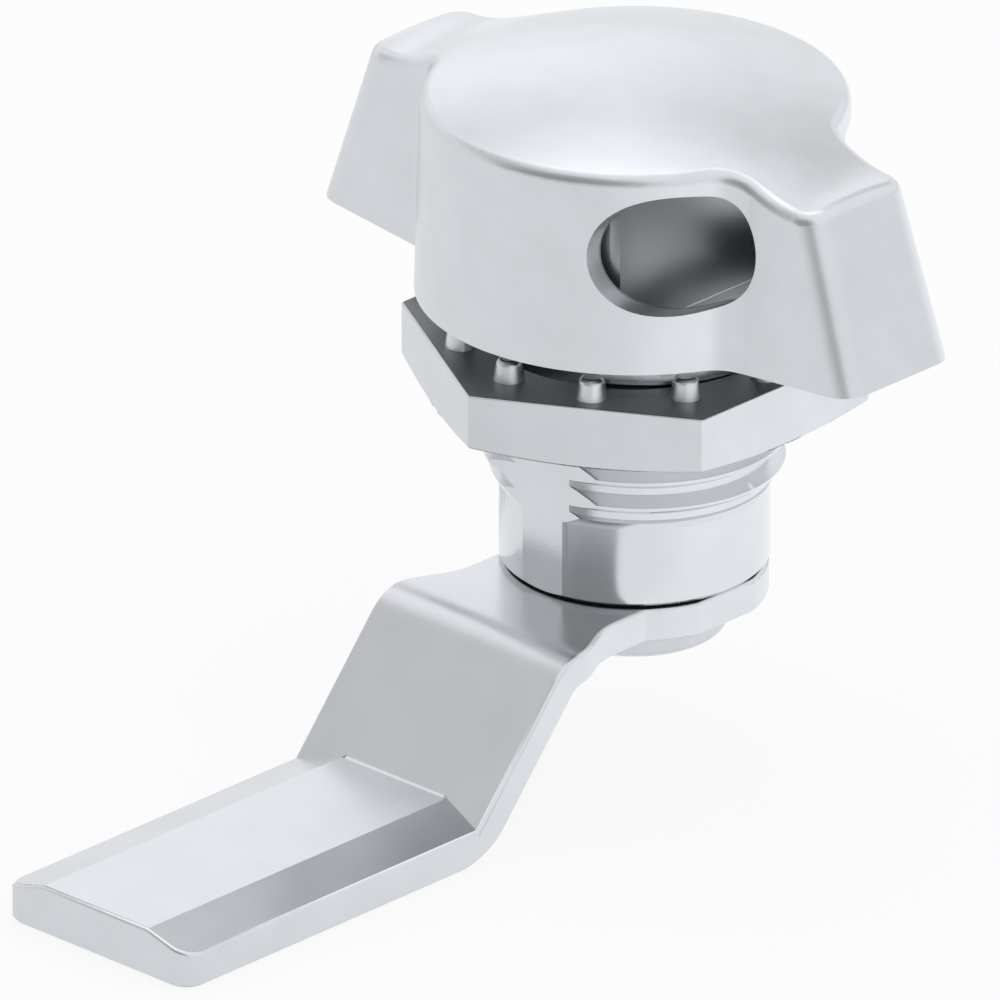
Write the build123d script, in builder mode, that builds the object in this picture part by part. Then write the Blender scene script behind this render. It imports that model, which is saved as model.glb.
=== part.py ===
from build123d import *
import math
import os

# Wing knob latch for a sheet-metal door. Z runs up out of the panel along the
# latch axis and z = 0 is the panel's front face. The wings lie along X and the
# cam points along -Y. All sizes are in millimetres.

# Knob
knob_foot_radius = 15.9
rim_inset = 0.4
knob_gap = 0.3
knob_wall = 1.45
knob_roof = 1.8
rim_z = 15.5
dome_rise = 2.1
rim_round = 1.0
wing_length = 10.87
wing_top_z = 14.2
wing_crown = 0.45
wing_crown_run = 7.0
wing_foot_half = 5.63
wing_lean = 1 / 3
wing_flank_lean = 0.053
wing_flare = 0.04
wing_blend = 3.0
wing_corner = 2.0
wing_lift = 0.8
wing_lift_start = 0.1
sweep_start = 1.0
sweep_run = 8.5
rib_thickness = 1.4
rib_bury = 1.0
shackle_hole_radius = 4.6
shackle_inset = 3.25
shackle_z = 9.35
rib_shackle_gap = 1.0
drive_across = 7.0
drive_skin = 0.9

# Housing
flange_clearance = 0.25
flange_thickness = 2.0
head_step = 1.4
head_room = 2.3
counterbore_depth = 7.2
thread_radius = 11.0
thread_end_z = -12.7
nose_run = 2.0
nose_wall = 1.6
barrel_end_z = -20.8
recess_depth = 2.0
housing_edge = 0.3

# Rotation stop
stop_pin_radius = 1.25
stop_wall = 1.55
stop_start_deg = 135
stop_travel_deg = 90
stop_clearance = 0.1
stop_slot_depth = 1.8
stop_pin_reach = 1.5
stop_pin_bite = 2.3
stop_boss_radius = 2.4
stop_boss_gap = 0.5

# Flange seal, drawn squeezed flush with the flange
seal_margin = 0.65
seal_width = 1.6
seal_depth = 1.1
seal_gap = 0.05

# Spindle
shaft_radius = 5.5
bore_clearance = 0.05
collar_step = 0.8
collar_clearance = 0.3
collar_thickness = 1.6
cam_square = 8.0
cam_square_inset = 0.1
square_short = 0.15
tap_clearance = 0.02
tap_depth = 12.5

# Spindle seal, a ring of square section
spindle_seal_z = -4.2
spindle_seal_width = 1.8
seal_groove_depth = 1.55
seal_groove_play = 0.2
seal_bore_gap = 0.03

# Wave washer
wave_height = 1.0
wave_thickness = 0.4
wave_bore_gap = 0.1
wave_rim_gap = 0.2
wave_gap = 0.03

# Retaining ring
ring_groove_depth = 0.4
ring_thickness = 1.0
ring_play = 0.1
ring_groove_gap = 0.05
ring_width = 2.3
ring_opening_deg = 40
lug_radius = 1.1
lug_setting = 1.6
lug_clearance = 0.4
lug_hole_radius = 0.5

# Nut
nut_wall = 4.0
nut_top_z = -2.9
nut_thickness = 4.7
nut_thread_gap = 0.04
nut_turn_deg = 30
nut_bevel_deg = 15
nut_edge = 0.25
pip_count = 12
pip_setting = 2.05
pip_radius = 1.15
pip_taper_deg = 9
pip_height = 1.65
pip_cap = 0.25

# Cam
cam_gap = 0.15
cam_thickness = 2.7
web_thickness = 2.6
cam_end_inset = 0.1
neck_half = 7.3
cam_half = 9.25
neck_end = 9.5
flare_run = 6.5
web_top_u = 16.67
web_run = 9.18
cam_drop = 10.6
tongue_length = 29.95
tongue_rise = 1.1
tongue_edge_thickness = 2.65
tongue_flat_half = 5.2
upper_bend = 4.1
upper_bend_inner = 1.5
lower_bend = 6.0
lower_bend_inner = 0.6
tip_corner = 1.8
cam_square_gap = 0.03

# Cam screw and its lock washer
washer_thickness = 0.7
washer_radius = 6.0
washer_tooth = 0.9
washer_teeth = 12
screw_radius = 3.0
screw_clearance = 0.15
screw_length = 11.0
screw_head_radius = 6.8
screw_head_height = 1.95
screw_head_chamfer = 0.5
hex_socket = 4.0
hex_socket_depth = 1.4

# Nets of points for the two free-form faces, and a length past every piece
crown_net_count = 41
wave_net_count = 13
net_margin = 2.0
far = 60.0

# Radii from the shaft outwards
bore_radius = shaft_radius + bore_clearance
collar_radius = shaft_radius + collar_step
counterbore_radius = collar_radius + collar_clearance
ring_groove_radius = shaft_radius - ring_groove_depth
lug_orbit = ring_groove_radius + lug_setting
recess_radius = lug_orbit + lug_radius + lug_clearance
nose_radius = recess_radius + nose_wall
cam_end_radius = nose_radius - cam_end_inset

# Radii from the knob inwards
rim_radius = knob_foot_radius - rim_inset
wing_foot_reach = knob_foot_radius + wing_length
shackle_x = knob_foot_radius - shackle_inset
flange_radius = knob_foot_radius - knob_wall - flange_clearance
head_radius = flange_radius - head_step
head_flat_x = shackle_x - shackle_hole_radius
stop_orbit = head_radius - stop_wall - stop_clearance - stop_pin_radius
seal_outer = flange_radius - seal_margin
seal_inner = seal_outer - seal_width

# Heights
apex_z = rim_z + dome_rise
blank_top_z = apex_z + net_margin
head_top_z = rim_z - head_room
counterbore_z = head_top_z - counterbore_depth
collar_foot_z = counterbore_z + wave_height
boss_foot_z = collar_foot_z + collar_thickness
drive_length = apex_z - knob_roof - drive_skin - boss_foot_z
stop_pin_length = stop_pin_reach + stop_boss_gap + stop_pin_bite
recess_z = barrel_end_z + recess_depth
ring_top_z = recess_z - ring_play
nut_bottom_z = nut_top_z - nut_thickness
cam_top_z = barrel_end_z - cam_gap
cam_bottom_z = cam_top_z - cam_thickness
tongue_edge_z = cam_top_z - cam_drop
tongue_top_z = tongue_edge_z + tongue_rise
tongue_bottom_z = tongue_edge_z - tongue_edge_thickness
screw_seat_z = cam_bottom_z - washer_thickness


def smooth(t):
    """Ease from 0 to 1 with level ends."""
    t = min(max(t, 0), 1)
    return t * t * (3 - 2 * t)


def crown_height(x, y):
    """Height of the one crowned surface that runs from the dome out over both wings."""
    r = math.hypot(x, y)
    dome = apex_z - dome_rise * (r / rim_radius) ** 2
    sweep = smooth((r - rim_radius + sweep_start) / sweep_run)
    along = smooth((abs(x) - rim_radius) / wing_crown_run)
    height = dome + (wing_top_z - dome) * sweep
    return height - wing_crown * along * (y / wing_foot_half) ** 2


def surface(height, reach, count):
    """A smooth face through a square net of points, each lifted to height(x, y)."""
    span = [reach * (2 * i / (count - 1) - 1) for i in range(count)]
    net = [[Vector(x, y, height(x, y)) for y in span] for x in span]
    return Face.make_surface_from_array_of_points(net, tol=0.005, min_deg=3, max_deg=3)


def wing_block(inset):
    """Both wings as one block with leaning flanks and ends, each face drawn in by inset."""
    root_half = wing_foot_half + wing_flare * wing_foot_reach
    with BuildPart() as block:
        with BuildSketch(Plane.XY.offset(knob_gap)):
            Rectangle(2 * far, 2 * far)
        extrude(amount=blank_top_z - knob_gap)
        for side in (-1, 1):
            end = Plane((side * (wing_foot_reach - inset), 0, knob_gap), z_dir=(side, 0, wing_lean))
            split(bisect_by=end, keep=Keep.BOTTOM)
            for flank in (-1, 1):
                foot = (0, flank * (root_half - inset), knob_gap)
                wall = Plane(foot, z_dir=(side * wing_flare, flank, wing_flank_lean))
                split(bisect_by=wall, keep=Keep.BOTTOM)
    return block.part


os.makedirs("parts", exist_ok=True)

# Above this face there is no knob; moved down by the roof it also shapes the cavity.
crown_face = surface(crown_height, wing_foot_reach + net_margin, crown_net_count)
above_knob = extrude(crown_face, amount=far, dir=(0, 0, 1))

# Hollow inside the knob: a round well for the housing's head and one ribbed pocket per wing
rib_start = knob_foot_radius - rib_bury
rib_clear_x = shackle_x + shackle_hole_radius + rib_shackle_gap
with BuildPart() as cavity:
    add(wing_block(knob_wall))
    with BuildSketch(Plane.XZ):
        for x0, x1 in ((-far, -rib_start), (rib_clear_x, far)):
            Polygon((x0, -far), (x1, -far), (x1, far), (x0, far), align=None)
    extrude(amount=rib_thickness / 2, both=True, mode=Mode.SUBTRACT)
    with BuildSketch(Plane.XY.offset(knob_gap)):
        Circle(knob_foot_radius - knob_wall)
    extrude(amount=blank_top_z - knob_gap)
    add(Pos(0, 0, -knob_roof) * above_knob, mode=Mode.SUBTRACT)

# Die-cast knob shell with two wings, a drive boss and a padlock hole through one wing root
blank_top_radius = knob_foot_radius - rim_inset * (blank_top_z - knob_gap) / (rim_z - knob_gap)
upright = 0.9
with BuildPart() as wing_knob:
    with BuildSketch(Plane.XZ):
        Polygon(
            (0, knob_gap),
            (knob_foot_radius, knob_gap),
            (blank_top_radius, blank_top_z),
            (0, blank_top_z),
            align=None,
        )
    revolve(axis=Axis.Z)
    add(wing_block(0))
    corners = wing_knob.edges().filter_by(lambda e: abs(e.tangent_at(0.5).Z) > upright)
    fillet(corners.filter_by(lambda e: abs(e.center().X) < knob_foot_radius), wing_blend)
    corners = wing_knob.edges().filter_by(lambda e: abs(e.tangent_at(0.5).Z) > upright)
    fillet(corners.group_by(lambda e: round(abs(e.center().X)))[-1], wing_corner)
    add(above_knob, mode=Mode.SUBTRACT)
    with BuildSketch(Plane.XZ):
        for side in (-1, 1):
            Polygon(
                (side * (knob_foot_radius + wing_lift_start), knob_gap),
                (side * wing_foot_reach, knob_gap),
                (side * wing_foot_reach, knob_gap + wing_lift),
                align=None,
            )
    extrude(amount=far, both=True, mode=Mode.SUBTRACT)
    fillet(wing_knob.faces().sort_by(Axis.Z)[-1].outer_wire().edges(), rim_round)
    add(cavity.part, mode=Mode.SUBTRACT)
    with BuildSketch(Plane.XY.offset(boss_foot_z)):
        Circle(collar_radius)
    extrude(amount=apex_z - knob_roof / 2 - boss_foot_z)
    with BuildSketch(Plane.XY.offset(head_top_z + stop_boss_gap)):
        with PolarLocations(stop_orbit, 1, start_angle=stop_start_deg):
            Circle(stop_boss_radius)
    extrude(amount=rim_z - head_top_z - stop_boss_gap)
    with BuildSketch(Plane.XY.offset(boss_foot_z)):
        Rectangle(drive_across, drive_across)
    extrude(amount=drive_length, mode=Mode.SUBTRACT)
    with BuildSketch(Plane.XY.offset(head_top_z - stop_pin_reach)):
        with PolarLocations(stop_orbit, 1, start_angle=stop_start_deg):
            Circle(stop_pin_radius)
    extrude(amount=stop_pin_length, mode=Mode.SUBTRACT)
    with BuildSketch(Plane.XZ):
        with Locations((shackle_x, shackle_z)):
            Circle(shackle_hole_radius)
    extrude(amount=far, both=True, mode=Mode.SUBTRACT)
wing_knob.part.label = "wing_knob"

# Die-cast housing: D-shaped head inside the knob, flange on the panel, threaded barrel with two flats
with BuildPart() as housing:
    with BuildSketch(Plane.XY):
        Circle(flange_radius)
    extrude(amount=flange_thickness)
    with BuildSketch(Plane.XY.offset(flange_thickness)):
        Circle(head_radius)
        with Locations((head_flat_x, 0)):
            Rectangle(far, far, align=(Align.MIN, Align.CENTER), mode=Mode.SUBTRACT)
    extrude(amount=head_top_z - flange_thickness)
    chamfer(housing.edges().group_by(Axis.Z)[-1], housing_edge)
    with BuildSketch(Plane.XZ):
        Polygon(
            (0, 0),
            (thread_radius, 0),
            (thread_radius, thread_end_z),
            (nose_radius, thread_end_z - nose_run),
            (nose_radius, barrel_end_z + housing_edge),
            (nose_radius - housing_edge, barrel_end_z),
            (0, barrel_end_z),
            align=None,
        )
    revolve(axis=Axis.Z)
    with BuildSketch(Plane.XY):
        for side in (-1, 1):
            with Locations((0, side * nose_radius)):
                align_out = Align.MIN if side > 0 else Align.MAX
                Rectangle(far, far, align=(Align.CENTER, align_out))
    extrude(amount=barrel_end_z, mode=Mode.SUBTRACT)
    with BuildSketch(Plane.XY):
        Circle(seal_outer + seal_gap)
        Circle(seal_inner - seal_gap, mode=Mode.SUBTRACT)
    extrude(amount=seal_depth, mode=Mode.SUBTRACT)
    with BuildSketch(Plane.XY.offset(head_top_z)):
        SlotArc(
            CenterArc((0, 0), stop_orbit, stop_start_deg, stop_travel_deg, mode=Mode.PRIVATE),
            2 * (stop_pin_radius + stop_clearance),
        )
    extrude(amount=-stop_slot_depth, mode=Mode.SUBTRACT)
    with BuildSketch(Plane.XY.offset(counterbore_z)):
        Circle(counterbore_radius)
    extrude(amount=head_top_z - counterbore_z, mode=Mode.SUBTRACT)
    with BuildSketch(Plane.XY.offset(barrel_end_z)):
        Circle(bore_radius)
    extrude(amount=counterbore_z - barrel_end_z, mode=Mode.SUBTRACT)
    with BuildSketch(Plane.XY.offset(barrel_end_z)):
        Circle(recess_radius)
    extrude(amount=recess_z - barrel_end_z, mode=Mode.SUBTRACT)
housing.part.label = "housing"

# Rubber ring in the flange's groove
with BuildPart() as flange_seal:
    with BuildSketch(Plane.XY):
        Circle(seal_outer)
        Circle(seal_inner, mode=Mode.SUBTRACT)
    extrude(amount=seal_depth)
flange_seal.part.label = "flange_seal"

# Hexagon nut with a ring of earthing pips that bite through the panel's paint
nut_half = thread_radius + nut_wall
pip_orbit = thread_radius + pip_setting
pip_shoulder = pip_height - pip_cap
pip_neck = pip_radius - pip_shoulder * math.tan(math.radians(pip_taper_deg))
with BuildPart() as hex_nut:
    with BuildSketch(Plane.XY.offset(nut_bottom_z)):
        RegularPolygon(nut_half, 6, major_radius=False, rotation=nut_turn_deg)
    extrude(amount=nut_thickness)
    bevel_rise = far * math.tan(math.radians(nut_bevel_deg))
    with BuildSketch(Plane.XZ):
        Polygon(
            (0, nut_bottom_z),
            (nut_half, nut_bottom_z),
            (nut_half + far, nut_bottom_z + bevel_rise),
            (0, nut_bottom_z + bevel_rise),
            align=None,
        )
    revolve(axis=Axis.Z, mode=Mode.INTERSECT)
    fillet(hex_nut.edges().filter_by(Axis.Z), nut_edge)
    with Locations((0, 0, nut_top_z)):
        with PolarLocations(pip_orbit, pip_count, start_angle=-nut_turn_deg):
            Cone(pip_radius, pip_neck, pip_shoulder, align=(Align.CENTER, Align.CENTER, Align.MIN))
    with Locations((0, 0, nut_top_z + pip_shoulder)):
        with PolarLocations(pip_orbit, pip_count, start_angle=-nut_turn_deg):
            Cone(pip_neck, pip_neck - pip_cap, pip_cap, align=(Align.CENTER, Align.CENTER, Align.MIN))
    with BuildSketch(Plane.XY.offset(nut_bottom_z)):
        Circle(thread_radius + nut_thread_gap)
    extrude(amount=nut_thickness, mode=Mode.SUBTRACT)
hex_nut.part.label = "hex_nut"

# Steel spindle cast into the knob, with a thrust collar and a square end for the cam
with BuildPart() as spindle:
    with BuildSketch(Plane.XY.offset(cam_top_z)):
        Circle(shaft_radius)
    extrude(amount=collar_foot_z - cam_top_z)
    with BuildSketch(Plane.XY.offset(collar_foot_z)):
        Circle(collar_radius)
    extrude(amount=boss_foot_z - collar_foot_z)
    with BuildSketch(Plane.XY.offset(boss_foot_z)):
        Rectangle(drive_across, drive_across)
    extrude(amount=drive_length)
    with BuildSketch(Plane.XY.offset(cam_top_z)):
        Circle(shaft_radius - cam_square_inset)
        Rectangle(cam_square, cam_square, mode=Mode.INTERSECT)
    extrude(amount=-(cam_thickness - square_short))
    with BuildSketch(Plane.XY.offset(spindle_seal_z)):
        Circle(shaft_radius)
        Circle(shaft_radius - seal_groove_depth, mode=Mode.SUBTRACT)
    extrude(amount=spindle_seal_width / 2 + seal_groove_play, both=True, mode=Mode.SUBTRACT)
    with BuildSketch(Plane.XY.offset(ring_top_z)):
        Circle(shaft_radius)
        Circle(ring_groove_radius, mode=Mode.SUBTRACT)
    extrude(amount=-ring_thickness - ring_groove_gap, mode=Mode.SUBTRACT)
    with BuildSketch(Plane.XY.offset(cam_bottom_z + square_short)):
        Circle(screw_radius + tap_clearance)
    extrude(amount=tap_depth, mode=Mode.SUBTRACT)
spindle.part.label = "spindle"

# Hardened pin pressed into the knob's roof, which runs in the housing's arc slot
with BuildPart() as stop_pin:
    with BuildSketch(Plane.XY.offset(head_top_z - stop_pin_reach)):
        with PolarLocations(stop_orbit, 1, start_angle=stop_start_deg):
            Circle(stop_pin_radius)
    extrude(amount=stop_pin_length)
stop_pin.part.label = "stop_pin"

# Rubber ring in the spindle's groove
with BuildPart() as spindle_seal:
    with BuildSketch(Plane.XY.offset(spindle_seal_z)):
        Circle(bore_radius - seal_bore_gap)
        Circle(shaft_radius - seal_groove_depth, mode=Mode.SUBTRACT)
    extrude(amount=spindle_seal_width / 2, both=True)
spindle_seal.part.label = "spindle_seal"

# Three-wave spring washer under the spindle's collar
wave_outer = counterbore_radius - wave_rim_gap
wave_swing = (wave_height - wave_gap - wave_thickness) / 2


def wave(x, y):
    """Lower face of the washer: three even waves round the axis."""
    ripple = (x ** 3 - 3 * x * y ** 2) / wave_outer ** 3
    return counterbore_z + wave_swing * (1 + ripple)


wave_face = surface(wave, wave_outer + net_margin, wave_net_count)
wave_slab = extrude(wave_face, amount=wave_thickness, dir=(0, 0, 1))
with BuildPart() as wave_washer:
    with BuildSketch(Plane.XY.offset(counterbore_z)):
        Circle(wave_outer)
        Circle(bore_radius + wave_bore_gap, mode=Mode.SUBTRACT)
    extrude(amount=wave_height)
    add(wave_slab, mode=Mode.INTERSECT)
wave_washer.part.label = "wave_washer"

# Snap ring that keeps the spindle in the housing while the cam is off
half_opening = math.radians(ring_opening_deg / 2)
with BuildPart() as retaining_ring:
    with BuildSketch(Plane.XY.offset(ring_top_z)):
        Circle(ring_groove_radius + ring_width)
        Circle(ring_groove_radius + ring_groove_gap, mode=Mode.SUBTRACT)
        Polygon(
            (0, 0),
            (far * math.cos(half_opening), -far * math.sin(half_opening)),
            (far * math.cos(half_opening), far * math.sin(half_opening)),
            align=None,
            mode=Mode.SUBTRACT,
        )
        with PolarLocations(lug_orbit, 2, -ring_opening_deg / 2, ring_opening_deg, endpoint=True):
            Circle(lug_radius)
            Circle(lug_hole_radius, mode=Mode.SUBTRACT)
    extrude(amount=-ring_thickness)
retaining_ring.part.label = "retaining_ring"

# Cranked cam: flat hub plate, sloping web and a tongue with ramped long edges
web_slope = cam_drop / web_run
web_drop = web_thickness * math.hypot(1, web_slope)
flare_end = neck_end + flare_run
tongue_tip = web_top_u + web_run + tongue_length
corner_x = cam_half - tip_corner
corner_y = tip_corner - tongue_tip


def web_u(z):
    """Distance from the axis at which the web's upper plane passes height z."""
    return web_top_u + (cam_top_z - z) / web_slope


def under_web_u(z):
    """The same for the web's lower plane."""
    return web_top_u + (cam_top_z - web_drop - z) / web_slope


with BuildPart() as ramp_tool:
    with BuildSketch(Plane.XZ):
        for side in (-1, 1):
            Polygon(
                (side * tongue_flat_half, tongue_top_z),
                (side * cam_half, tongue_edge_z),
                (side * (2 * cam_half - tongue_flat_half), tongue_edge_z - tongue_rise),
                (side * (2 * cam_half - tongue_flat_half), tongue_top_z + tongue_rise),
                (side * tongue_flat_half, tongue_top_z + tongue_rise),
                align=None,
            )
    extrude(amount=tongue_tip + far)
    low, high = tongue_edge_z - 2 * tongue_rise, tongue_top_z + 2 * tongue_rise
    with BuildSketch(Plane.YZ):
        Polygon((-web_u(low), low), (-web_u(high), high), (-far * 2, high), (-far * 2, low), align=None)
    extrude(amount=far, both=True, mode=Mode.INTERSECT)

with BuildPart() as cam:
    with BuildSketch(Plane.YZ):
        with BuildLine():
            Polyline(
                (cam_end_radius, cam_top_z),
                (-web_top_u, cam_top_z),
                (-web_u(tongue_top_z), tongue_top_z),
                (-tongue_tip, tongue_top_z),
                (-tongue_tip, tongue_bottom_z),
                (-under_web_u(tongue_bottom_z), tongue_bottom_z),
                (-under_web_u(cam_bottom_z), cam_bottom_z),
                (cam_end_radius, cam_bottom_z),
                close=True,
            )
        make_face()
    extrude(amount=cam_half, both=True)
    bends = (
        ((web_top_u, cam_top_z), upper_bend),
        ((under_web_u(cam_bottom_z), cam_bottom_z), upper_bend_inner),
        ((web_u(tongue_top_z), tongue_top_z), lower_bend_inner),
        ((under_web_u(tongue_bottom_z), tongue_bottom_z), lower_bend),
    )
    for (u, z), radius in bends:
        fillet(cam.edges().filter_by(Axis.X).sort_by_distance((0, -u, z))[0], radius)
    add(ramp_tool.part, mode=Mode.SUBTRACT)
    with BuildSketch(Plane.XY.offset(cam_top_z)):
        with BuildLine():
            shoulder = math.sqrt(cam_end_radius ** 2 - neck_half ** 2)
            for side in (-1, 1):
                Line((side * neck_half, -shoulder), (side * neck_half, -neck_end))
                Spline(
                    (side * neck_half, -neck_end),
                    (side * cam_half, -flare_end),
                    tangents=((0, -1), (0, -1)),
                )
                Line((side * cam_half, -flare_end), (side * cam_half, corner_y))
            RadiusArc((cam_half, corner_y), (corner_x, -tongue_tip), tip_corner)
            Line((corner_x, -tongue_tip), (-corner_x, -tongue_tip))
            RadiusArc((-corner_x, -tongue_tip), (-cam_half, corner_y), tip_corner)
            ThreePointArc((-neck_half, -shoulder), (0, cam_end_radius), (neck_half, -shoulder))
        make_face()
    extrude(amount=tongue_bottom_z - cam_top_z, mode=Mode.INTERSECT)
    with BuildSketch(Plane.XY.offset(cam_top_z)):
        Rectangle(cam_square + 2 * cam_square_gap, cam_square + 2 * cam_square_gap)
    extrude(amount=-cam_thickness, mode=Mode.SUBTRACT)
cam.part.label = "cam"

# Toothed lock washer between cam and screw head
with BuildPart() as lock_washer:
    with BuildSketch(Plane.XY.offset(cam_bottom_z)):
        Circle(washer_radius)
        Circle(screw_radius + screw_clearance, mode=Mode.SUBTRACT)
        with PolarLocations(washer_radius, washer_teeth):
            Rectangle(2 * washer_tooth, washer_tooth, mode=Mode.SUBTRACT)
    extrude(amount=-washer_thickness)
lock_washer.part.label = "lock_washer"

# Low-head screw into the spindle's end
with BuildPart() as cam_screw:
    with BuildSketch(Plane.XY.offset(screw_seat_z)):
        Circle(screw_head_radius)
    extrude(amount=-screw_head_height)
    chamfer(cam_screw.edges().group_by(Axis.Z)[0], screw_head_chamfer)
    with BuildSketch(Plane.XY.offset(screw_seat_z)):
        Circle(screw_radius)
    extrude(amount=screw_length)
    with BuildSketch(Plane.XY.offset(screw_seat_z - screw_head_height)):
        RegularPolygon(hex_socket / 2, 6, major_radius=False)
    extrude(amount=hex_socket_depth, mode=Mode.SUBTRACT)
cam_screw.part.label = "cam_screw"

pieces = (
    wing_knob,
    housing,
    flange_seal,
    hex_nut,
    spindle,
    stop_pin,
    spindle_seal,
    wave_washer,
    retaining_ring,
    cam,
    lock_washer,
    cam_screw,
)
for piece in pieces:
    export_step(piece.part, f"parts/{piece.part.label}.step")
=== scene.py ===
import math

import bmesh
import bpy
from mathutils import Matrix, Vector


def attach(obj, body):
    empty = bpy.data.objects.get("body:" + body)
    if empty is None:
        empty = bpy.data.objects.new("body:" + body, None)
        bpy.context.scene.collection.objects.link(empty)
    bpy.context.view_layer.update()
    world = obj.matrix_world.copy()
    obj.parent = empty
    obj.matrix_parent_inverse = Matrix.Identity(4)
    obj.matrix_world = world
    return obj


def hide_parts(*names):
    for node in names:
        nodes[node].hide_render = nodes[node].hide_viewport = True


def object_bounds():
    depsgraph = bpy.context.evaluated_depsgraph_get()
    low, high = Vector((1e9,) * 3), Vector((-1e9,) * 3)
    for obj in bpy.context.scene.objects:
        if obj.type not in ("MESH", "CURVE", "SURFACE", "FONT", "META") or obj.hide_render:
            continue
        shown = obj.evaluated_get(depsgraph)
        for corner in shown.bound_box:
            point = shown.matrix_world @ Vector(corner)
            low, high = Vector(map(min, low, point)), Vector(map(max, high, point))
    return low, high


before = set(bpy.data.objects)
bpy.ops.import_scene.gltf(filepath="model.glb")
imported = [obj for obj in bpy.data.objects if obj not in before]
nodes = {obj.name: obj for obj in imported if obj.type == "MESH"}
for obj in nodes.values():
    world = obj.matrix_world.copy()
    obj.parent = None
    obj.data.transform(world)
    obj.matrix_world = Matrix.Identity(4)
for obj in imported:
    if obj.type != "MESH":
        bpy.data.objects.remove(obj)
cad_box = [list(corner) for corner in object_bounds()]
scene = bpy.context.scene
MM = 0.001

# Housing. A zinc die casting: a D-shaped head that sits inside the knob, a flange for the
# panel and a barrel with two flats. Its thread is cut after casting, then the flange and the
# barrel are polished, and the whole piece is satin chrome-plated.
thread_pitch = 2.0 * MM
thread_crest_radius = 11.0 * MM
thread_root_radius = 9.97 * MM
thread_root_width = thread_pitch / 4
thread_crest_width = thread_pitch / 8
thread_overcut = 0.3 * MM
thread_start_z = -15.8 * MM
thread_turns = 7.3
thread_run_out = 0.05
thread_steps_per_turn = 90
flat_half = 9.6 * MM
flat_top_z = -0.02 * MM
flat_foot_z = -22.0 * MM
flat_depth = 3.0 * MM
housing_crease_deg = 10
barrel_colour = (0.70, 0.715, 0.73, 1)
barrel_roughness = 0.2
barrel_grain_size = 0.22 * MM
# Where the polish doesn't reach, rougher and darkened as painted shade: within this radius and
# between these two heights.
head_unpolished_painted_shade = (20.0 * MM, 2.05 * MM, 20.0 * MM)
# How much the colour is darkened there: painted shade.
painted_shade_tone = 0.56
dull_roughness = 1.5
grain_octaves = 3.0
cloud_octaves = 2.0
cloud_fineness = 0.05
merge_distance = 0.001 * MM
flat_angle_deg = 0.3
run_out_size = 0.02


def put(tree, kind, values=None, **settings):
    """Add a node to a tree; each value is a number for that input or a socket to link to it."""
    node = tree.nodes.new(kind)
    for name, value in settings.items():
        setattr(node, name, value)
    for name, value in (values or {}).items():
        if isinstance(value, bpy.types.NodeSocket):
            tree.links.new(value, node.inputs[name])
        else:
            node.inputs[name].default_value = value
    return node


def calc(tree, operation, first, second=0.0, third=0.0):
    """One sum on numbers or sockets, as a socket."""
    values = {0: first, 1: second, 2: third}
    return put(tree, "ShaderNodeMath", values, operation=operation).outputs[0]


def new_tree(name, kind, takes, gives):
    """An empty node group with named inputs and outputs."""
    tree = bpy.data.node_groups.new(name, kind)
    for label, socket_type in takes.items():
        tree.interface.new_socket(label, in_out="INPUT", socket_type="NodeSocket" + socket_type)
    for label, socket_type in gives.items():
        tree.interface.new_socket(label, in_out="OUTPUT", socket_type="NodeSocket" + socket_type)
    return tree, tree.nodes.new("NodeGroupInput"), tree.nodes.new("NodeGroupOutput")


def close_tree(tree, geometry, source, end):
    """End a geometry tree the same way each time: real meshes with their material on."""
    real = put(tree, "GeometryNodeRealizeInstances", {"Geometry": geometry})
    skin = put(tree, "GeometryNodeSetMaterial", {"Geometry": real.outputs[0], "Material": source})
    tree.links.new(skin.outputs[0], end.inputs["Geometry"])


def run_tree(piece, tree, sizes):
    """Work a geometry tree into the piece's mesh, with its inputs set by name."""
    step = piece.modifiers.new(tree.name, "NODES")
    step.node_group = tree
    for item in tree.interface.items_tree:
        if item.in_out == "INPUT" and item.name in sizes:
            step[item.identifier] = sizes[item.name]
    return made_real(piece)


def made_real(piece):
    """The piece's modifiers worked into its mesh, and taken off."""
    bpy.context.view_layer.update()
    evaluated = piece.evaluated_get(bpy.context.evaluated_depsgraph_get())
    result = bpy.data.meshes.new_from_object(evaluated)
    piece.modifiers.clear()
    piece.data = result
    return piece


def merged_copy(node, name):
    """The node's mesh again as a piece of its own, its triangles joined and its flats made whole."""
    mesh = nodes[node].data.copy()
    mesh.materials.clear()
    work = bmesh.new()
    work.from_mesh(mesh)
    bmesh.ops.remove_doubles(work, verts=work.verts, dist=merge_distance)
    flat_angle = math.radians(flat_angle_deg)
    bmesh.ops.dissolve_limit(work, angle_limit=flat_angle, verts=work.verts, edges=work.edges)
    work.to_mesh(mesh)
    work.free()
    piece = bpy.data.objects.new(name, mesh)
    scene.collection.objects.link(piece)
    return piece


def soften(piece, width, sharp_deg, smooth_deg):
    """A narrow strip on each sharp outer edge, shaded as a round from one face to the next."""
    work = bmesh.new()
    work.from_mesh(piece.data)
    sharp = math.radians(sharp_deg)
    edges = [edge for edge in work.edges if edge.calc_face_angle_signed(0) > sharp]
    cut = {"offset": width, "segments": 1, "profile": 0.5, "affect": "EDGES"}
    strips = set(bmesh.ops.bevel(work, geom=edges, **cut)["faces"])
    work.normal_update()
    limit = math.cos(math.radians(smooth_deg))
    normals = []
    for face in work.faces:
        on_strip = face in strips
        for corner in face.loops:
            total = Vector()
            for other in corner.vert.link_loops:
                near = other.face
                alike = on_strip or near.normal.dot(face.normal) > limit
                if near not in strips and alike:
                    total += near.normal * other.calc_angle()
            normals.append(total.normalized() if total.length > 0 else face.normal.copy())
    work.to_mesh(piece.data)
    work.free()
    piece.data.shade_smooth()
    piece.data.normals_split_custom_set(normals)
    return piece


def paint(piece, material):
    """The material all over the piece."""
    piece.data.materials.clear()
    piece.data.materials.append(material)


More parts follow.
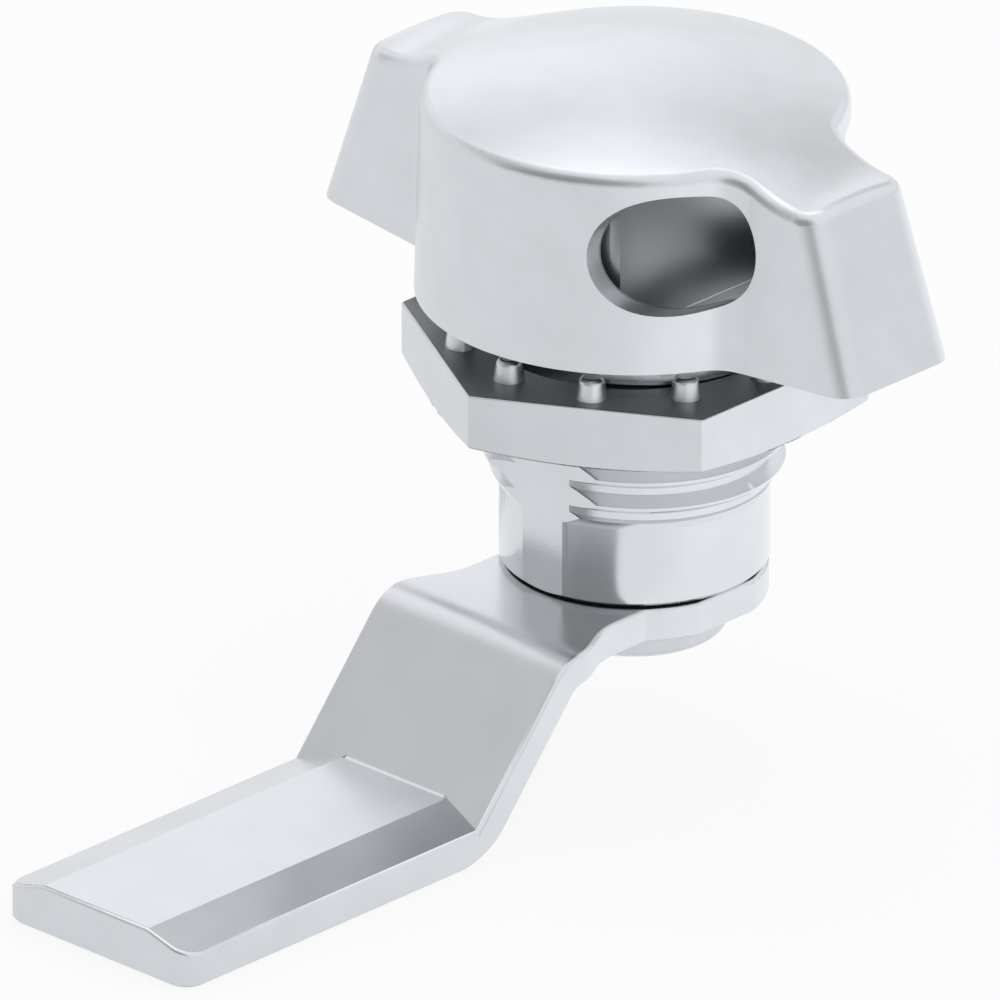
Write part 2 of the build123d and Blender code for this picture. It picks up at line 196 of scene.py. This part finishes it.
def metal_skin():
    """Group for plated metal: a soft cloud in the tone, a finer one in the gloss and a satin grain.

    Within the dull radius and between the two dull heights it is rougher, and darker as painted shade.
    """
    takes = {"Grain size": "Float", "Cloud": "Float", "Colour": "Color", "Roughness": "Float"}
    takes.update({"Dull radius": "Float", "Dull foot": "Float", "Dull top": "Float"})
    gives = {"Colour": "Color", "Roughness": "Float", "Height": "Float"}
    tree, source, end = new_tree("metal_skin", "ShaderNodeTree", takes, gives)
    place = put(tree, "ShaderNodeTexCoord").outputs["Object"]
    fineness = calc(tree, "DIVIDE", 1.0, source.outputs["Grain size"])
    grain = put(tree, "ShaderNodeTexNoise", {"Vector": place, "Scale": fineness, "Detail": grain_octaves})
    patch_scale = calc(tree, "MULTIPLY", fineness, cloud_fineness)
    cloud = {"Vector": place, "Scale": patch_scale, "Detail": cloud_octaves}
    patch = put(tree, "ShaderNodeTexNoise", cloud)
    off_mean = calc(tree, "SUBTRACT", patch.outputs[0], 0.5)
    tone = calc(tree, "MULTIPLY_ADD", off_mean, source.outputs["Cloud"], 1.0)
    spot = put(tree, "ShaderNodeSeparateXYZ", {"Vector": place}).outputs
    level = put(tree, "ShaderNodeCombineXYZ", {"X": spot["X"], "Y": spot["Y"]}).outputs[0]
    out = put(tree, "ShaderNodeVectorMath", {0: level}, operation="LENGTH").outputs["Value"]
    near = calc(tree, "LESS_THAN", out, source.outputs["Dull radius"])
    above = calc(tree, "GREATER_THAN", spot["Z"], source.outputs["Dull foot"])
    below = calc(tree, "LESS_THAN", spot["Z"], source.outputs["Dull top"])
    between = calc(tree, "MULTIPLY", above, below)
    dull = calc(tree, "MULTIPLY", near, between)
    # Painted shade: the colour darkened within the dull radius and between the dull heights.
    painted_shade = calc(tree, "MULTIPLY_ADD", dull, painted_shade_tone - 1, 1.0)
    tone = calc(tree, "MULTIPLY", tone, painted_shade)
    tinted = put(tree, "ShaderNodeVectorMath", {0: source.outputs["Colour"]}, operation="SCALE")
    tree.links.new(tone, tinted.inputs["Scale"])
    both = calc(tree, "ADD", grain.outputs[0], patch.outputs[0])
    gloss = calc(tree, "MULTIPLY_ADD", both, source.outputs["Cloud"], 1.0)
    gloss = calc(tree, "SUBTRACT", gloss, source.outputs["Cloud"])
    rougher = calc(tree, "MULTIPLY_ADD", dull, dull_roughness - 1, 1.0)
    gloss = calc(tree, "MULTIPLY", gloss, rougher)
    rough = calc(tree, "MULTIPLY", gloss, source.outputs["Roughness"])
    tree.links.new(tinted.outputs[0], end.inputs["Colour"])
    tree.links.new(rough, end.inputs["Roughness"])
    tree.links.new(grain.outputs[0], end.inputs["Height"])
    return tree


skin_group = metal_skin()


def plated(
    name, colour, roughness, grain_size, cloud=0.12, grain_depth=0.004 * MM, unpolished_painted_shade=(0, 0, 0)
):
    """A plated metal from the shared skin group; the last argument is a radius and two heights, where it
    is rougher and darkened as painted shade.
    """
    material = bpy.data.materials.new(name)
    material.use_nodes = True
    tree = material.node_tree
    tree.nodes.clear()
    values = {"Grain size": grain_size, "Cloud": cloud, "Colour": colour, "Roughness": roughness}
    values.update(zip(("Dull radius", "Dull foot", "Dull top"), unpolished_painted_shade))
    skin = put(tree, "ShaderNodeGroup", node_tree=skin_group)
    for label, value in values.items():
        skin.inputs[label].default_value = value
    bump = put(tree, "ShaderNodeBump", {"Height": skin.outputs["Height"], "Distance": grain_depth})
    surface = {
        "Base Color": skin.outputs["Colour"],
        "Roughness": skin.outputs["Roughness"],
        "Normal": bump.outputs[0],
        "Metallic": 1.0,
    }
    body = put(tree, "ShaderNodeBsdfPrincipled", surface)
    put(tree, "ShaderNodeOutputMaterial", {"Surface": body.outputs[0]})
    return material


def barrel_tree():
    """Geometry tree that mills two flats and cuts a V thread, turned round the Z axis."""
    takes = {
        "Geometry": "Geometry",
        "Material": "Material",
        "Pitch": "Float",
        "Mouth radius": "Float",
        "Depth": "Float",
        "Mouth half": "Float",
        "Root half": "Float",
        "Start": "Float",
        "Turns": "Float",
        "Run-out": "Float",
        "Steps": "Int",
        "Flat half": "Float",
        "Flat depth": "Float",
        "Flat top": "Float",
        "Flat foot": "Float",
    }
    tree, source, end = new_tree("cut_barrel", "GeometryNodeTree", takes, {"Geometry": "Geometry"})
    given = source.outputs
    rise = calc(tree, "MULTIPLY", given["Pitch"], given["Turns"])
    sizes = {
        "Resolution": given["Steps"],
        "Rotations": given["Turns"],
        "Start Radius": given["Mouth radius"],
        "End Radius": given["Mouth radius"],
        "Height": rise,
    }
    coil = put(tree, "GeometryNodeCurveSpiral", sizes)
    upright = put(tree, "GeometryNodeSetCurveNormal", {"Curve": coil.outputs[0]}, mode="Z_UP")
    along = put(tree, "GeometryNodeSplineParameter")
    fade_start = calc(tree, "SUBTRACT", 1.0, given["Run-out"])
    fade = {0: along.outputs["Factor"], 1: fade_start, 2: 1.0, 3: 1.0, 4: run_out_size}
    fading = put(tree, "ShaderNodeMapRange", fade)
    sized = put(
        tree,
        "GeometryNodeSetCurveRadius",
        {"Curve": upright.outputs[0], "Radius": fading.outputs[0]},
    )
    corners = {}
    for number, (inward, side, half) in enumerate(
        ((0, -1, "Mouth half"), (1, -1, "Root half"), (1, 1, "Root half"), (0, 1, "Mouth half"))
    ):
        width = calc(tree, "MULTIPLY", given[half], side)
        depth = calc(tree, "MULTIPLY", given["Depth"], inward)
        corner = put(tree, "ShaderNodeCombineXYZ", {"X": depth, "Y": width})
        corners[f"Point {number + 1}"] = corner.outputs[0]
    section = put(tree, "GeometryNodeCurvePrimitiveQuadrilateral", corners, mode="POINTS")
    swept = put(
        tree,
        "GeometryNodeCurveToMesh",
        {"Curve": sized.outputs[0], "Profile Curve": section.outputs[0], "Fill Caps": True},
    )
    lift = put(tree, "ShaderNodeCombineXYZ", {"Z": given["Start"]})
    placed = put(
        tree,
        "GeometryNodeTransform",
        {"Geometry": swept.outputs[0], "Translation": lift.outputs[0]},
    )
    cut = put(tree, "GeometryNodeMeshBoolean", operation="DIFFERENCE", solver="EXACT")
    tree.links.new(given["Geometry"], cut.inputs["Mesh 1"])
    tree.links.new(placed.outputs[0], cut.inputs["Mesh 2"])
    tall = calc(tree, "SUBTRACT", given["Flat top"], given["Flat foot"])
    middle_z = calc(tree, "MULTIPLY_ADD", tall, -0.5, given["Flat top"])
    wide = calc(tree, "MULTIPLY", given["Mouth radius"], 2.0)
    size = put(tree, "ShaderNodeCombineXYZ", {"X": wide, "Y": given["Flat depth"], "Z": tall})
    block = put(tree, "GeometryNodeMeshCube", {"Size": size.outputs[0]})
    out = calc(tree, "MULTIPLY_ADD", given["Flat depth"], 0.5, given["Flat half"])
    for side in (-1, 1):
        middle_y = calc(tree, "MULTIPLY", out, side)
        middle = put(tree, "ShaderNodeCombineXYZ", {"Y": middle_y, "Z": middle_z})
        moved = {"Geometry": block.outputs["Mesh"], "Translation": middle.outputs[0]}
        flat = put(tree, "GeometryNodeTransform", moved)
        tree.links.new(flat.outputs[0], cut.inputs["Mesh 2"])
    close_tree(tree, cut.outputs["Mesh"], given["Material"], end)
    return tree


cut_barrel = barrel_tree()
barrel_chrome = plated(
    "barrel_chrome", barrel_colour, barrel_roughness, barrel_grain_size, unpolished_painted_shade=head_unpolished_painted_shade
)
housing = merged_copy("housing", "housing_finished")
groove_half = (thread_pitch - thread_crest_width) / 2
groove_slope = (groove_half - thread_root_width / 2) / (thread_crest_radius - thread_root_radius)
run_tree(
    housing,
    cut_barrel,
    {
        "Material": barrel_chrome,
        "Pitch": thread_pitch,
        "Mouth radius": thread_crest_radius + thread_overcut,
        "Depth": thread_crest_radius + thread_overcut - thread_root_radius,
        "Mouth half": groove_half + groove_slope * thread_overcut,
        "Root half": thread_root_width / 2,
        "Start": thread_start_z,
        "Turns": thread_turns,
        "Run-out": thread_run_out,
        "Steps": thread_steps_per_turn,
        "Flat half": flat_half,
        "Flat depth": flat_depth,
        "Flat top": flat_top_z,
        "Flat foot": flat_foot_z,
    },
)
paint(housing, barrel_chrome)
housing.data.shade_smooth()
housing.data.set_sharp_from_angle(angle=math.radians(housing_crease_deg))
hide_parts("housing")
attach(housing, "fixed")

# Flange seal and spindle seal. Moulded nitrile rubber rings: one is pressed into the
# flange's groove, where the panel squeezes it flat, and the other sits round the spindle.
rubber_colour = (0.035, 0.036, 0.038, 1)
rubber_roughness = 0.72
rubber_grain = 6000.0
rubber_grain_depth = 0.02 * MM
bloom_grain = 350.0
bloom_from = 0.5
bloom_full = 0.75
bloom_paleness = 3


def rubber():
    """Matt black rubber with a fine moulded grain and a dusting of bloom."""
    material = bpy.data.materials.new("seal_rubber")
    material.use_nodes = True
    tree = material.node_tree
    tree.nodes.clear()
    place = put(tree, "ShaderNodeTexCoord").outputs["Object"]
    grain = put(tree, "ShaderNodeTexNoise", {"Vector": place, "Scale": rubber_grain, "Detail": 2.0})
    bloom = put(tree, "ShaderNodeTexNoise", {"Vector": place, "Scale": bloom_grain, "Detail": 4.0})
    dust = put(tree, "ShaderNodeMapRange", {0: bloom.outputs[0], 1: bloom_from, 2: bloom_full})
    pale = tuple(bloom_paleness * part for part in rubber_colour[:3]) + (1,)
    mixed = put(tree, "ShaderNodeMix", {"Factor": dust.outputs[0]}, data_type="RGBA")
    mixed.inputs[6].default_value = rubber_colour
    mixed.inputs[7].default_value = pale
    bump = put(tree, "ShaderNodeBump", {"Height": grain.outputs[0], "Distance": rubber_grain_depth})
    surface = {
        "Base Color": mixed.outputs[2],
        "Roughness": rubber_roughness,
        "Normal": bump.outputs[0],
    }
    body = put(tree, "ShaderNodeBsdfPrincipled", surface)
    put(tree, "ShaderNodeOutputMaterial", {"Surface": body.outputs[0]})
    return material


seal_rubber = rubber()
for node in ("flange_seal", "spindle_seal"):
    nodes[node].material_slots[0].material = seal_rubber

# Spindle, stop pin, wave washer and retaining ring. The steel pieces inside: the spindle is
# turned from bar and cast into the knob, the pin is pressed in, and the washer and the ring
# are pressed from spring strip.
steel_colour = (0.52, 0.52, 0.53, 1)
steel_roughness = 0.34
steel_grain_size = 0.3 * MM
inner_steel = plated("inner_steel", steel_colour, steel_roughness, steel_grain_size, cloud=0.2)
for node in ("spindle", "stop_pin", "wave_washer", "retaining_ring"):
    nodes[node].material_slots[0].material = inner_steel

# Knob. A zinc die casting: a domed shell with two hollow wings, ribbed underneath, and a
# padlock hole through one wing root. It is polished outside and satin chrome-plated.
knob_colour = (0.72, 0.735, 0.75, 1)
knob_roughness = 0.3
knob_grain_size = 0.16 * MM
# Inside the knob's hollow the plate is rougher and its colour darkened as painted shade.
hollow_unpolished_painted_shade = (14.6 * MM, -5.0 * MM, 13.6 * MM)
knob_satin = plated(
    "knob_satin_chrome", knob_colour, knob_roughness, knob_grain_size, unpolished_painted_shade=hollow_unpolished_painted_shade
)
nodes["wing_knob"].material_slots[0].material = knob_satin

# Nut. A hexagon nut, pressed and tapped, with a ring of pips that bite through the panel's
# paint to earth it, zinc-plated. The face between the pips is rougher, and darkened as painted shade.
nut_colour = (0.70, 0.715, 0.73, 1)
nut_roughness = 0.32
nut_grain_size = 0.25 * MM
pip_face_unpolished_painted_shade = (30.0 * MM, -2.905 * MM, -2.85 * MM)
nut_zinc = plated(
    "nut_zinc_plate", nut_colour, nut_roughness, nut_grain_size, cloud=0.18, unpolished_painted_shade=pip_face_unpolished_painted_shade
)
nut = merged_copy("hex_nut", "hex_nut_finished")
soften(nut, width=0.12 * MM, sharp_deg=24, smooth_deg=20)
paint(nut, nut_zinc)
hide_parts("hex_nut")
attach(nut, "nut")

# Cam. A cranked plate, pressed from steel with ramped long edges on its tongue, deburred,
# zinc-plated and held on the spindle's square.
cam_colour = (0.70, 0.715, 0.73, 1)
cam_roughness = 0.26
cam_grain_size = 0.25 * MM
cam_plate = plated("cam_plated_steel", cam_colour, cam_roughness, cam_grain_size)
cam = merged_copy("cam", "cam_finished")
soften(cam, width=0.3 * MM, sharp_deg=24, smooth_deg=14)
paint(cam, cam_plate)
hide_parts("cam")
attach(cam, "rotor")

# Cam screw and lock washer. A low-head socket screw and a toothed washer, both of
# zinc-plated steel, that hold the cam.
screw_colour = (0.62, 0.63, 0.65, 1)
screw_roughness = 0.28
screw_grain_size = 0.12 * MM
screw_grain_depth = 0.0006 * MM
screw_steel = plated(
    "screw_steel", screw_colour, screw_roughness, screw_grain_size, grain_depth=screw_grain_depth
)
nodes["lock_washer"].material_slots[0].material = screw_steel
screw = merged_copy("cam_screw", "cam_screw_finished")
soften(screw, width=0.15 * MM, sharp_deg=30, smooth_deg=20)
paint(screw, screw_steel)
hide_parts("cam_screw")
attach(screw, "rotor")

# Studio. A white light tent: an even shell with a bright roof and a dark opening where the
# camera looks in, over a pale floor.
def direction(azimuth_deg, elevation_deg):
    """Unit direction; azimuth 0 is -Y and 90 is +X."""
    azimuth = math.radians(azimuth_deg)
    elevation = math.radians(elevation_deg)
    flat = math.cos(elevation)
    return Vector((math.sin(azimuth) * flat, -math.cos(azimuth) * flat, math.sin(elevation)))


white = (1, 1, 1, 1)
tent_colour = (0.99, 1.0, 1.022, 1)
floor_reach = 3.0
floor_shade = 0.92
floor_roughness = 0.9
floor_glow_least = 0.93
floor_glow_most = 1.15
floor_glow_start = -60 * MM
floor_glow_end = 40 * MM
floor_glow_side = direction(143, 0)
floor_white_share = 0.86
camera_aim = Vector((-2.55, -11.34, -13.81)) * MM
camera_azimuth_deg = 43.88
camera_elevation_deg = 24.41
camera_distance = 3.36628
camera_sensor = 36.0
camera_lens = 1684.8
camera_reach = 20.0

floor_mesh = bpy.data.meshes.new("floor")
floor_z = cad_box[0][2]
sides = ((-1, -1), (1, -1), (1, 1), (-1, 1))
corners = [(x * floor_reach, y * floor_reach, floor_z) for x, y in sides]
floor_mesh.from_pydata(corners, [], [(0, 1, 2, 3)])
floor = bpy.data.objects.new("floor", floor_mesh)
scene.collection.objects.link(floor)
floor_paint = bpy.data.materials.new("floor_paint")
floor_paint.use_nodes = True
tree = floor_paint.node_tree
tree.nodes.clear()
place = put(tree, "ShaderNodeTexCoord").outputs["Object"]
across = put(tree, "ShaderNodeVectorMath", {0: place, 1: floor_glow_side}, operation="DOT_PRODUCT")
fade = {
    0: across.outputs["Value"],
    1: floor_glow_start,
    2: floor_glow_end,
    3: floor_glow_least,
    4: floor_glow_most,
}
glow = put(tree, "ShaderNodeMapRange", fade, interpolation_type="SMOOTHSTEP")
rays = put(tree, "ShaderNodeLightPath").outputs
seen_glow = {"Factor": rays["Is Camera Ray"], "A": glow.outputs[0], "B": 1.0}
strength = put(tree, "ShaderNodeMix", seen_glow)
pale = {"Base Color": (floor_shade,) * 3 + (1,), "Roughness": floor_roughness}
matt = put(tree, "ShaderNodeBsdfPrincipled", pale)
tint = {"Factor": rays["Is Camera Ray"], 6: tent_colour, 7: white}
glow_colour = put(tree, "ShaderNodeMix", tint, data_type="RGBA").outputs[2]
lit = put(tree, "ShaderNodeEmission", {"Color": glow_colour, "Strength": strength.outputs[0]})
seen = calc(tree, "MAXIMUM", rays["Is Camera Ray"], rays["Is Glossy Ray"])
share = calc(tree, "MULTIPLY", seen, floor_white_share)
mixed = put(tree, "ShaderNodeMixShader", {0: share, 1: matt.outputs[0], 2: lit.outputs[0]})
put(tree, "ShaderNodeOutputMaterial", {"Surface": mixed.outputs[0]})
floor_mesh.materials.append(floor_paint)

# Each patch of the tent: its middle, its half width and soft edge in degrees, and its light
# against the shell's.
tent_patches = (
    ("roof", direction(-130, 64), 18, 5, 1.5),
    ("camera_opening", direction(8, 14), 38, 26, 0.36),
    ("left_flag", direction(-52, 38), 20, 14, 0.7),
    ("dome_flag", direction(-118, 41), 8, 8, 0.78),
    ("back_flag", direction(-158, 42), 12, 14, 0.68),
    ("back_panel", direction(-128, 19), 9, 12, 1.22),
    ("right_flag", direction(131, 4), 8, 12, 0.9),
)
horizon_light = 0.8
horizon_height = 0.22
tent_light = 1.0
world = bpy.data.worlds.new("light_tent")
scene.world = world
world.use_nodes = True
tree = world.node_tree
tree.nodes.clear()
ray = put(tree, "ShaderNodeTexCoord").outputs["Generated"]
height = put(tree, "ShaderNodeSeparateXYZ", {"Vector": ray}).outputs["Z"]
lifted = {0: height, 1: 0.0, 2: horizon_height, 3: horizon_light, 4: tent_light}
light = put(tree, "ShaderNodeMapRange", lifted).outputs[0]
for name, middle, half_deg, soft_deg, strength in tent_patches:
    along = {0: ray, 1: middle}
    towards = put(tree, "ShaderNodeVectorMath", along, operation="DOT_PRODUCT", label=name)
    outer = math.cos(math.radians(half_deg + soft_deg / 2))
    inner = math.cos(math.radians(half_deg - soft_deg / 2))
    ease = {0: towards.outputs["Value"], 1: outer, 2: inner, 3: 1.0, 4: strength}
    patch = put(tree, "ShaderNodeMapRange", ease, interpolation_type="SMOOTHSTEP")
    light = calc(tree, "MULTIPLY", light, patch.outputs[0])
tent = put(tree, "ShaderNodeBackground", {"Color": tent_colour, "Strength": light})
backdrop = put(tree, "ShaderNodeBackground", {"Color": white, "Strength": 1.0})
seen = put(tree, "ShaderNodeLightPath").outputs["Is Camera Ray"]
mixed = put(tree, "ShaderNodeMixShader", {0: seen, 1: tent.outputs[0], 2: backdrop.outputs[0]})
put(tree, "ShaderNodeOutputWorld", {"Surface": mixed.outputs[0]})

camera_data = bpy.data.cameras.new("camera")
camera_data.sensor_width = camera_sensor
camera_data.lens = camera_lens
camera_data.clip_end = camera_reach
camera = bpy.data.objects.new("camera", camera_data)
scene.collection.objects.link(camera)
towards_camera = direction(camera_azimuth_deg, camera_elevation_deg)
camera.location = camera_aim + towards_camera * camera_distance
camera.rotation_euler = (-towards_camera).to_track_quat("-Z", "Y").to_euler()
scene.camera = camera
scene.view_settings.view_transform = "Standard"
